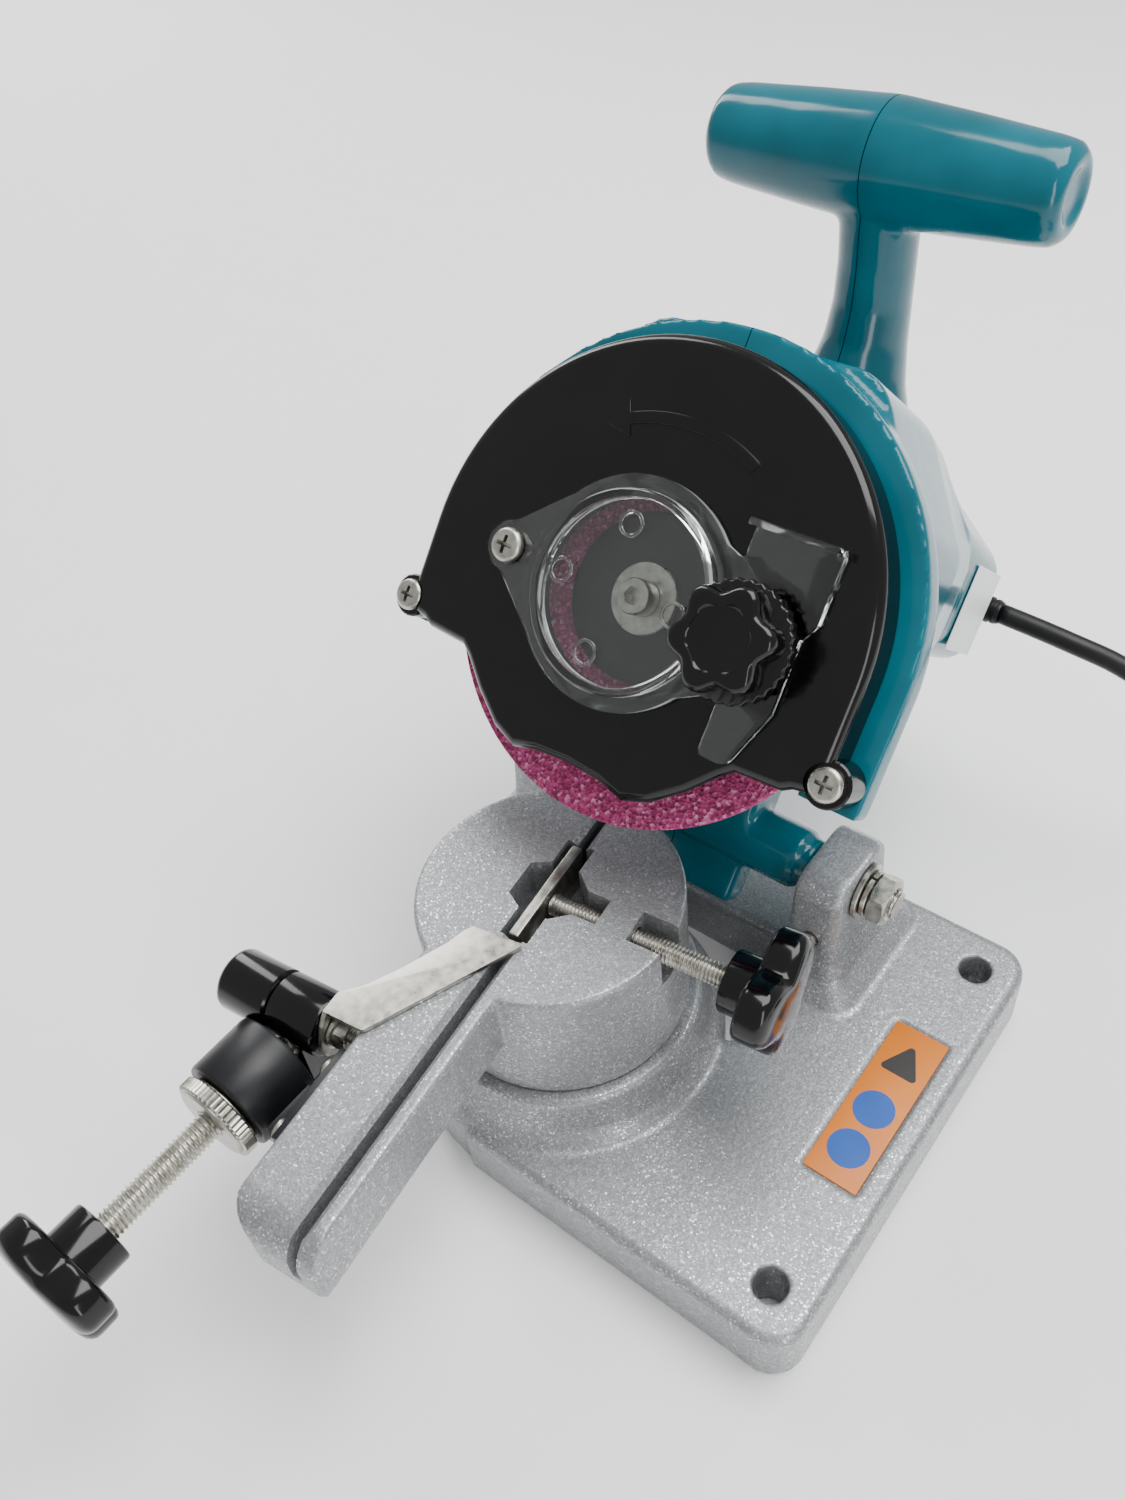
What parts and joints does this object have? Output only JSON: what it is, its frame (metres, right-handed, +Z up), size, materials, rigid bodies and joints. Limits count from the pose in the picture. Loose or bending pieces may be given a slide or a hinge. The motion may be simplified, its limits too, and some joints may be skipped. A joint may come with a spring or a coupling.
{
  "type": "bench saw chain grinder",
  "caption": "Bench grinder that sharpens saw chain: motor head with thin abrasive wheel tilting on a cast base, swivelling chain vise with clamp and adjustable chain stop.",
  "frame": {"origin": "bottom centre of the machine without its cord and plug", "axes": "+X along the hinge bolt to the bench-bolt side, +Y from the vise towards the hinge, +Z up"},
  "size_m": [0.3453, 0.3091, 0.2103],
  "materials": {
    "silver_cast_paint": "silver-grey sparkle paint on a casting",
    "teal_gloss_plastic": "glossy moulded",
    "black_gloss_plastic": "glossy moulded",
    "black_moulded_plastic": "satin moulded",
    "clear_polycarbonate": "clear moulded",
    "zinc_plated_steel": "bright zinc plate",
    "ground_steel": "ground",
    "pink_corundum": "open-grained bonded abrasive",
    "orange_label_film": "printed film",
    "white_label_film": "printed film",
    "copper_winding": "enamelled copper",
    "carbon_brush": "carbon",
    "black_cord_rubber": "smooth",
    "plated_pin": "nickel plate"
  },
  "bodies": {
    "base": {"base_casting": "silver_cast_paint", "base_label": "orange_label_film", "rest_pin": "zinc_plated_steel", "hinge_bolt": "zinc_plated_steel", "hinge_nut": "zinc_plated_steel", "hinge_washer": "zinc_plated_steel", "hinge_lock_washer": "zinc_plated_steel", "return_spring": "ground_steel", "power_cord": "black_cord_rubber", "cord_coil": "black_cord_rubber", "plug_body": "black_moulded_plastic", "plug_pin_left": "plated_pin", "plug_pin_right": "plated_pin"},
    "vise": {"vise_casting": "silver_cast_paint", "pivot_bolt": "zinc_plated_steel", "pivot_washer": "zinc_plated_steel", "stop_bracket": "black_moulded_plastic", "bracket_screw_front": "zinc_plated_steel", "bracket_screw_back": "zinc_plated_steel"},
    "lock_nut": {"stop_lock_nut": "zinc_plated_steel"},
    "jaw": {"jaw": "ground_steel"},
    "clamp": {"clamp_screw": "zinc_plated_steel", "clamp_knob": "black_gloss_plastic"},
    "carriage": {"stop_barrel": "black_gloss_plastic", "barrel_cap": "black_gloss_plastic"},
    "stop": {"stop_screw": "zinc_plated_steel", "stop_knob": "black_gloss_plastic"},
    "pawl": {"pawl": "zinc_plated_steel", "pawl_bolt": "zinc_plated_steel", "pawl_nut": "zinc_plated_steel"},
    "head": {"housing_left": "teal_gloss_plastic", "housing_right": "teal_gloss_plastic", "housing_screw_top": "zinc_plated_steel", "housing_screw_rear": "zinc_plated_steel", "housing_screw_hinge": "zinc_plated_steel", "wheel_guard": "black_gloss_plastic", "guard_screw_left": "zinc_plated_steel", "guard_screw_right": "zinc_plated_steel", "clear_cover": "clear_polycarbonate", "cover_screw": "zinc_plated_steel", "stator": "ground_steel", "brush_left": "carbon_brush", "brush_right": "carbon_brush", "front_bearing": "ground_steel", "rear_bearing": "ground_steel", "switch_body": "black_moulded_plastic", "rating_label": "white_label_film", "strain_relief": "black_cord_rubber"},
    "spindle": {"spindle": "ground_steel", "grinding_wheel": "pink_corundum", "rear_flange": "ground_steel", "front_flange": "black_moulded_plastic", "wheel_washer": "zinc_plated_steel", "wheel_bolt": "zinc_plated_steel", "armature": "copper_winding", "commutator": "copper_winding", "fan": "black_moulded_plastic"},
    "cover_knob": {"cover_knob": "black_moulded_plastic"},
    "switch": {"switch_rocker": "black_moulded_plastic"}
  },
  "joints": [
    {"name": "head_tilt", "type": "hinge", "parent": "base", "child": "head", "pos_m": [-0.015, 0.04573, 0.0483], "axis": [1, 0, 0], "range_deg": [0, 17], "stiffness_Nm_per_rad": 0.6, "springref_deg": -34.38},
    {"name": "vise_swivel", "type": "hinge", "parent": "base", "child": "vise", "pos_m": [-0.015, -0.01537, 0.0345], "axis": [0, 0, 1], "range_deg": [-36.9, 23.1]},
    {"name": "jaw_slide", "type": "slide", "parent": "vise", "child": "jaw", "axis": [0.9928, 0.1201, 0], "range_m": [-0.0013, 0.0031]},
    {"name": "clamp_turn", "type": "hinge", "parent": "jaw", "child": "clamp", "pos_m": [0.01478, -0.01177, 0.0685], "axis": [0.9928, 0.1201, 0], "range_deg": [-470, 1118]},
    {"name": "stop_slide", "type": "slide", "parent": "vise", "child": "carriage", "axis": [0, 1, 0], "range_m": [0, 0.008]},
    {"name": "stop_turn", "type": "hinge", "parent": "carriage", "child": "stop", "pos_m": [-0.04598, -0.09235, 0.06], "axis": [0, 1, 0], "range_deg": [0, 2306]},
    {"name": "lock_nut_turn", "type": "hinge", "parent": "vise", "child": "lock_nut", "pos_m": [-0.04598, -0.09235, 0.06], "axis": [0, 1, 0], "range_deg": [-90, 0]},
    {"name": "pawl_lift", "type": "hinge", "parent": "carriage", "child": "pawl", "pos_m": [-0.03528, -0.07252, 0.067], "axis": [0.9928, 0.1201, 0], "range_deg": [0, 12]},
    {"name": "wheel_spin", "type": "hinge", "parent": "head", "child": "spindle", "pos_m": [-0.015, 0.03377, 0.13168], "axis": [0, 0.7466, -0.6652], "continuous": true},
    {"name": "cover_knob_turn", "type": "hinge", "parent": "head", "child": "cover_knob", "pos_m": [0.0175, 0.01839, 0.14539], "axis": [0, 0.7466, -0.6652], "range_deg": [0, 90]},
    {"name": "switch_rock", "type": "hinge", "parent": "head", "child": "switch", "pos_m": [-0.015, 0.13951, 0.14153], "axis": [1, 0, 0], "range_deg": [0, 8]}
  ],
  "couplings": [
    {"joint": "clamp_turn", "follows": "jaw_slide", "rad_per_m": 6283.2},
    {"joint": "stop_turn", "follows": "stop_slide", "rad_per_m": 5026.5}
  ]
}
